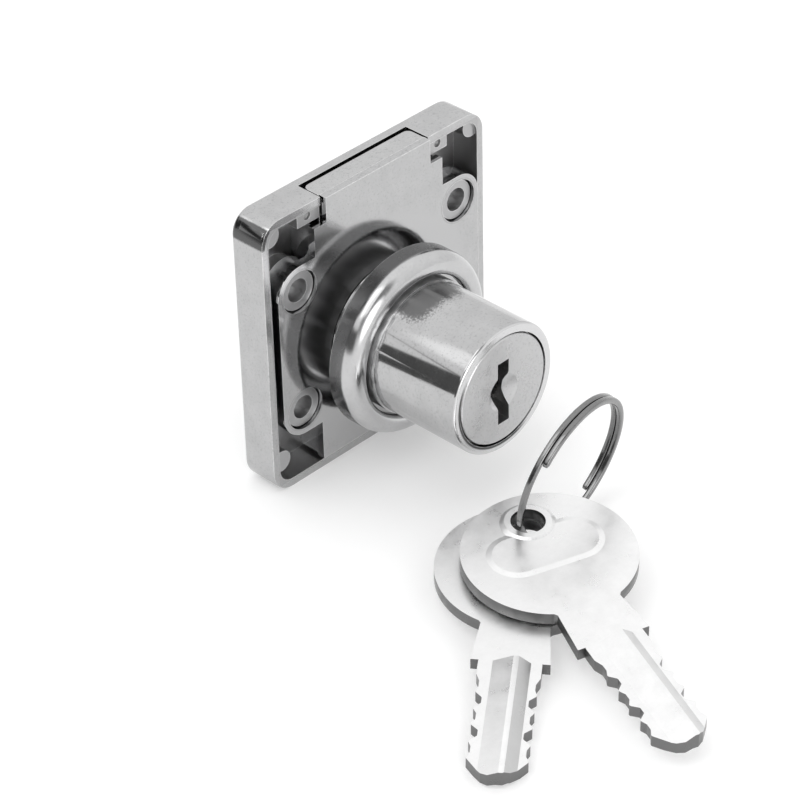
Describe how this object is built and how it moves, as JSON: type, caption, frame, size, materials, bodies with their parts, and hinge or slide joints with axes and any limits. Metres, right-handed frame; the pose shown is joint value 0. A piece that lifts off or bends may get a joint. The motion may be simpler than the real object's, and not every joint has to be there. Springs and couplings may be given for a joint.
{
  "type": "drawer lock",
  "caption": "Square surface-mounted drawer lock with a round barrel, a flat bolt that rises from its top edge, a loose trim ring, and flat keys on a split ring.",
  "frame": {"origin": "centre of the four screw holes on the cover plate's front face, the face that lies against the drawer front's inner side", "axes": "+X to the right seen from the barrel's face, -Y out of the barrel towards the key, +Y into the drawer, +Z the way the bolt rises. The barrel's axis is parallel to Y, 3.6 mm below the origin"},
  "size_m": [0.0645, 0.0818, 0.0424],
  "materials": {
    "case_plating": "bright nickel on die-cast zinc",
    "barrel_plating": "bright nickel on die-cast zinc",
    "bolt_plating": "nickel, slightly satin",
    "plug_plating": "satin nickel",
    "trim_plating": "bright nickel on pressed steel",
    "key_plating": "satin nickel on brass",
    "ring_steel": "polished steel wire",
    "wafer_metal": "stamped nickel silver",
    "spring_wire": "drawn wire"
  },
  "bodies": {
    "lock_case": {"case": "case_plating", "barrel_plate": "barrel_plating"},
    "bolt": {"bolt": "bolt_plating"},
    "plug": {"plug": "plug_plating", "retainer_spring": "spring_wire", "wafer_spring_1": "spring_wire", "wafer_spring_2": "spring_wire", "wafer_spring_3": "spring_wire", "wafer_spring_4": "spring_wire", "wafer_spring_5": "spring_wire"},
    "wafer_1": {"wafer_1": "wafer_metal"},
    "wafer_2": {"wafer_2": "wafer_metal"},
    "wafer_3": {"wafer_3": "wafer_metal"},
    "wafer_4": {"wafer_4": "wafer_metal"},
    "wafer_5": {"wafer_5": "wafer_metal"},
    "plug_retainer": {"plug_retainer": "wafer_metal"},
    "trim_ring": {"trim_ring": "trim_plating"},
    "key_1": {"key_1": "key_plating"},
    "key_2": {"key_2": "key_plating"},
    "split_ring": {"split_ring": "ring_steel"}
  },
  "joints": [
    {"name": "plug_turn", "type": "hinge", "parent": "lock_case", "child": "plug", "pos_m": [0, 0, -0.0036], "axis": [0, 1, 0], "range_deg": [0, 180]},
    {"name": "bolt_slide", "type": "slide", "parent": "lock_case", "child": "bolt", "axis": [0, 0, 1], "range_m": [0, 0.008]},
    {"name": "wafer_1_slide", "type": "slide", "parent": "plug", "child": "wafer_1", "axis": [0, 0, 1], "range_m": [0, 0.0008], "deforming": ["wafer_spring_1"]},
    {"name": "wafer_2_slide", "type": "slide", "parent": "plug", "child": "wafer_2", "axis": [0, 0, -1], "range_m": [0, 0.0008], "deforming": ["wafer_spring_2"]},
    {"name": "wafer_3_slide", "type": "slide", "parent": "plug", "child": "wafer_3", "axis": [0, 0, 1], "range_m": [0, 0.0008], "deforming": ["wafer_spring_3"]},
    {"name": "wafer_4_slide", "type": "slide", "parent": "plug", "child": "wafer_4", "axis": [0, 0, -1], "range_m": [0, 0.0008], "deforming": ["wafer_spring_4"]},
    {"name": "wafer_5_slide", "type": "slide", "parent": "plug", "child": "wafer_5", "axis": [0, 0, 1], "range_m": [0, 0.0008], "deforming": ["wafer_spring_5"]},
    {"name": "retainer_slide", "type": "slide", "parent": "plug", "child": "plug_retainer", "axis": [-1, 0, 0], "range_m": [0, 0.0009], "deforming": ["retainer_spring"]},
    {"name": "trim_ring_slide", "type": "slide", "parent": "lock_case", "child": "trim_ring", "axis": [0, -1, 0], "range_m": [-0.0028, 0.0195]},
    {"name": "key_set_lift", "type": "slide", "parent": "lock_case", "child": "key_1", "axis": [0, 0, 1], "range_m": [0, 0.04]},
    {"name": "key_2_swivel", "type": "hinge", "parent": "key_1", "child": "key_2", "pos_m": [-0.00858, -0.03411, -0.01646], "axis": [-0.0446, -0.0592, 0.9973], "range_deg": [-40, 8]},
    {"name": "split_ring_swing", "type": "hinge", "parent": "key_1", "child": "split_ring", "pos_m": [-0.00858, -0.03411, -0.01646], "axis": [-0.9914, -0.1203, -0.0515], "range_deg": [0, 16]}
  ],
  "couplings": [
    {"joint": "plug_turn", "follows": "bolt_slide", "rad_per_m": 392.7},
    {"joint": "wafer_2_slide", "follows": "wafer_1_slide", "ratio": 1},
    {"joint": "wafer_3_slide", "follows": "wafer_1_slide", "ratio": 1},
    {"joint": "wafer_4_slide", "follows": "wafer_1_slide", "ratio": 1},
    {"joint": "wafer_5_slide", "follows": "wafer_1_slide", "ratio": 1}
  ]
}
